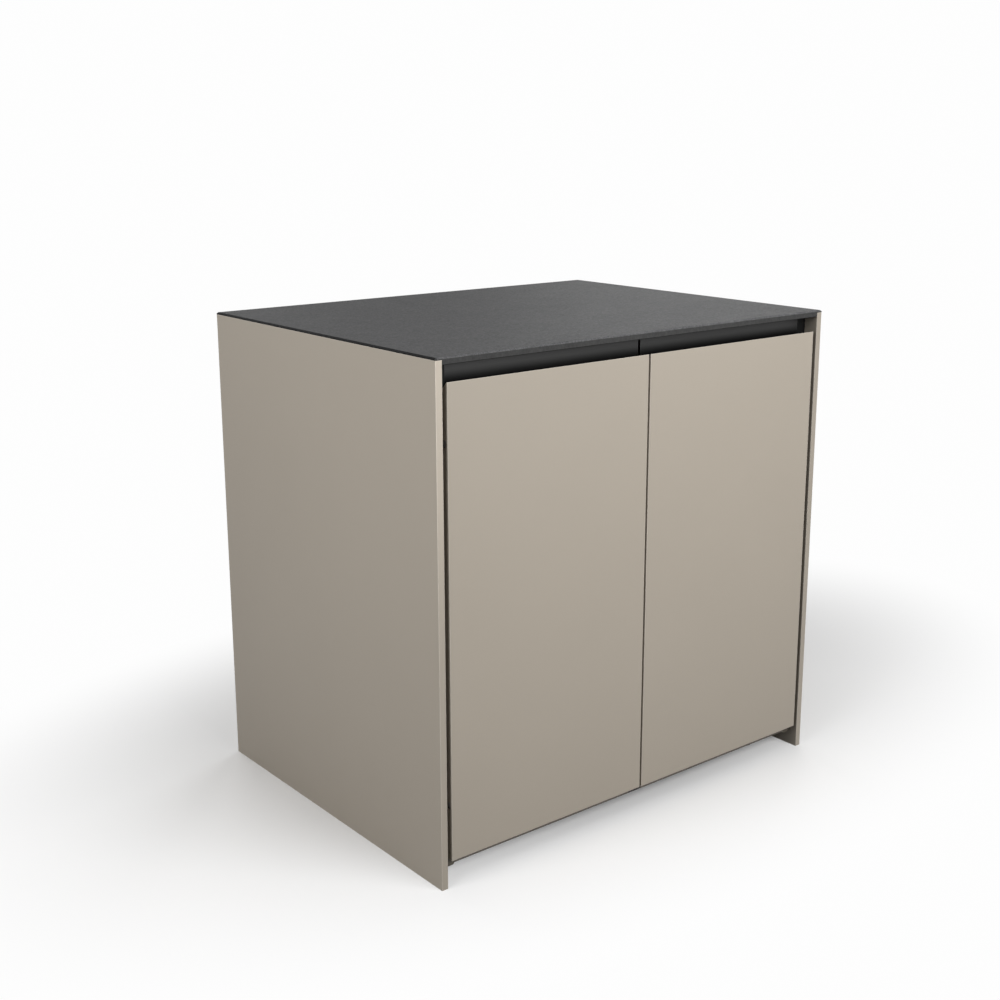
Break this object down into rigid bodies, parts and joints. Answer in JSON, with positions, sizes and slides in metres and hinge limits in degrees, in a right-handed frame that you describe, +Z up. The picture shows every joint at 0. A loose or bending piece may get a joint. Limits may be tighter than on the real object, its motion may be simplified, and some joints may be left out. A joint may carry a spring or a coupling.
{
  "type": "kitchen island unit",
  "caption": "Handle-less kitchen island with two hinged doors, a finger recess under a thin dark worktop, floor-standing side panels and base cabinets on levelling feet.",
  "frame": {"origin": "on the floor, at the middle of the footprint", "axes": "+X along the front to the right as seen from the front, +Y from the doors to the back panel, +Z up"},
  "size_m": [0.926, 0.712, 0.91],
  "materials": {
    "worktop_slab": "fine matt anthracite",
    "taupe_lacquer": "warm taupe matt lacquer on board",
    "carcass_board": "warm grey melamine-faced board",
    "black_board": "black stained strip",
    "dark_channel": "dark anodised extrusion",
    "black_plastic": "moulded",
    "grey_plastic": "moulded",
    "hinge_metal": "nickel plate",
    "screw_steel": "zinc plate",
    "foot_plastic": "moulded"
  },
  "bodies": {
    "island": {"worktop": "worktop_slab", "side_panel_left": "taupe_lacquer", "side_panel_right": "taupe_lacquer", "back_panel": "taupe_lacquer", "outer_side_left": "carcass_board", "inner_side_left": "carcass_board", "bottom_panel_left": "carcass_board", "carcass_back_left": "carcass_board", "front_rail_left": "carcass_board", "rear_rail_left": "carcass_board", "shelf_left": "carcass_board", "spacer_strips_left": "black_board", "grip_channel_left": "dark_channel", "channel_cap_left": "black_plastic", "foot_sockets_left": "black_plastic", "foot_hole_caps_left": "grey_plastic", "hinge_plates_left": "hinge_metal", "hinge_pins_left": "hinge_metal", "hinge_arm_left_lower": "hinge_metal", "hinge_arm_left_upper": "hinge_metal", "shelf_pins_left": "screw_steel", "side_panel_screws_left": "screw_steel", "outer_side_right": "carcass_board", "inner_side_right": "carcass_board", "bottom_panel_right": "carcass_board", "carcass_back_right": "carcass_board", "front_rail_right": "carcass_board", "rear_rail_right": "carcass_board", "shelf_right": "carcass_board", "spacer_strips_right": "black_board", "grip_channel_right": "dark_channel", "channel_cap_right": "black_plastic", "foot_sockets_right": "black_plastic", "foot_hole_caps_right": "grey_plastic", "hinge_plates_right": "hinge_metal", "hinge_pins_right": "hinge_metal", "hinge_arm_right_lower": "hinge_metal", "hinge_arm_right_upper": "hinge_metal", "shelf_pins_right": "screw_steel", "side_panel_screws_right": "screw_steel", "cabinet_connectors": "screw_steel", "back_panel_brackets": "screw_steel"},
    "door_left": {"door_left": "taupe_lacquer", "door_bumpers_left": "black_plastic", "hinge_cup_left_lower": "hinge_metal", "hinge_cup_left_upper": "hinge_metal"},
    "foot_left_front_inner": {"foot_left_front_inner": "foot_plastic"},
    "foot_left_front_outer": {"foot_left_front_outer": "foot_plastic"},
    "foot_left_rear_inner": {"foot_left_rear_inner": "foot_plastic"},
    "foot_left_rear_outer": {"foot_left_rear_outer": "foot_plastic"},
    "door_right": {"door_right": "taupe_lacquer", "door_bumpers_right": "black_plastic", "hinge_cup_right_lower": "hinge_metal", "hinge_cup_right_upper": "hinge_metal"},
    "foot_right_front_inner": {"foot_right_front_inner": "foot_plastic"},
    "foot_right_front_outer": {"foot_right_front_outer": "foot_plastic"},
    "foot_right_rear_inner": {"foot_right_rear_inner": "foot_plastic"},
    "foot_right_rear_outer": {"foot_right_rear_outer": "foot_plastic"}
  },
  "joints": [
    {"name": "door_left_swing", "type": "hinge", "parent": "island", "child": "door_left", "pos_m": [-0.4355, -0.348, 0.4589], "axis": [0, 0, -1], "range_deg": [0, 105]},
    {"name": "door_right_swing", "type": "hinge", "parent": "island", "child": "door_right", "pos_m": [0.4355, -0.348, 0.4589], "axis": [0, 0, 1], "range_deg": [0, 105]},
    {"name": "foot_left_front_inner_adjust", "type": "slide", "parent": "island", "child": "foot_left_front_inner", "axis": [0, 0, 1], "range_m": [0, 0.008]},
    {"name": "foot_left_front_outer_adjust", "type": "slide", "parent": "island", "child": "foot_left_front_outer", "axis": [0, 0, 1], "range_m": [0, 0.008]},
    {"name": "foot_left_rear_inner_adjust", "type": "slide", "parent": "island", "child": "foot_left_rear_inner", "axis": [0, 0, 1], "range_m": [0, 0.008]},
    {"name": "foot_left_rear_outer_adjust", "type": "slide", "parent": "island", "child": "foot_left_rear_outer", "axis": [0, 0, 1], "range_m": [0, 0.008]},
    {"name": "foot_right_front_inner_adjust", "type": "slide", "parent": "island", "child": "foot_right_front_inner", "axis": [0, 0, 1], "range_m": [0, 0.008]},
    {"name": "foot_right_front_outer_adjust", "type": "slide", "parent": "island", "child": "foot_right_front_outer", "axis": [0, 0, 1], "range_m": [0, 0.008]},
    {"name": "foot_right_rear_inner_adjust", "type": "slide", "parent": "island", "child": "foot_right_rear_inner", "axis": [0, 0, 1], "range_m": [0, 0.008]},
    {"name": "foot_right_rear_outer_adjust", "type": "slide", "parent": "island", "child": "foot_right_rear_outer", "axis": [0, 0, 1], "range_m": [0, 0.008]}
  ]
}
